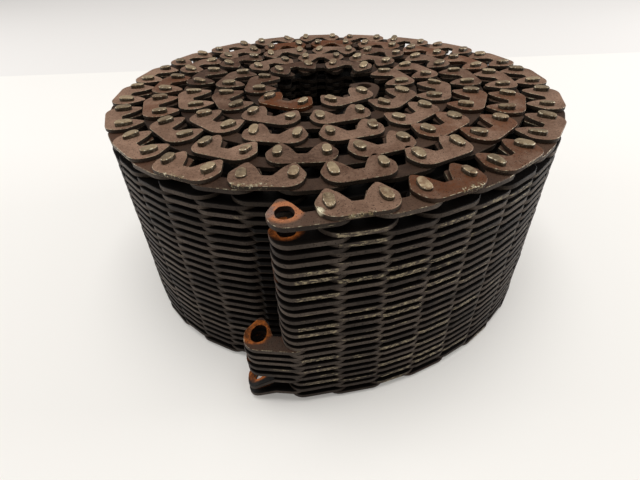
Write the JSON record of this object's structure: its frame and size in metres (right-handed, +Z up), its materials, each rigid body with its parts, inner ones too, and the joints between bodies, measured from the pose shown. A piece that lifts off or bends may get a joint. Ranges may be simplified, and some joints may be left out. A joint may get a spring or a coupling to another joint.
{
  "type": "rolled-up length of wide inverted-tooth chain",
  "caption": "Rusty steel inverted-tooth chain, wide and made of stacked link plates, rolled into a coil that stands on its edge with its loose end hinged at the front.",
  "frame": {"origin": "on the floor, under the middle of the whole coil's bounding box; the roll's own axis stands 4.3 mm left of it and 4.0 mm behind it", "axes": "+Z up along the roll's axis and the pins, +X to the right of the picture, +Y away from the picture's camera; the free end is at -Y"},
  "size_m": [0.1752, 0.1812, 0.0803],
  "materials": {
    "brown_steel": "worn steel with brown film rust",
    "dark_steel": "oily dark steel",
    "rusty_steel": "orange rust on steel"
  },
  "bodies": {
    "coil": {"turn_1": "brown_steel", "turn_2": "brown_steel", "turn_3": "brown_steel", "turn_4": "brown_steel", "turn_5": "brown_steel"},
    "end_link": {"end_link": "dark_steel"},
    "tail": {"tail": "rusty_steel"}
  },
  "joints": [
    {"name": "end_link_hinge", "type": "hinge", "parent": "coil", "child": "end_link", "pos_m": [-0.00278, -0.08241, 0.0402], "axis": [0, 0, 1], "range_deg": [-5, 15]},
    {"name": "tail_hinge", "type": "hinge", "parent": "end_link", "child": "tail", "pos_m": [-0.01534, -0.08428, 0.0181], "axis": [0, 0, 1], "range_deg": [-8, 40]}
  ]
}
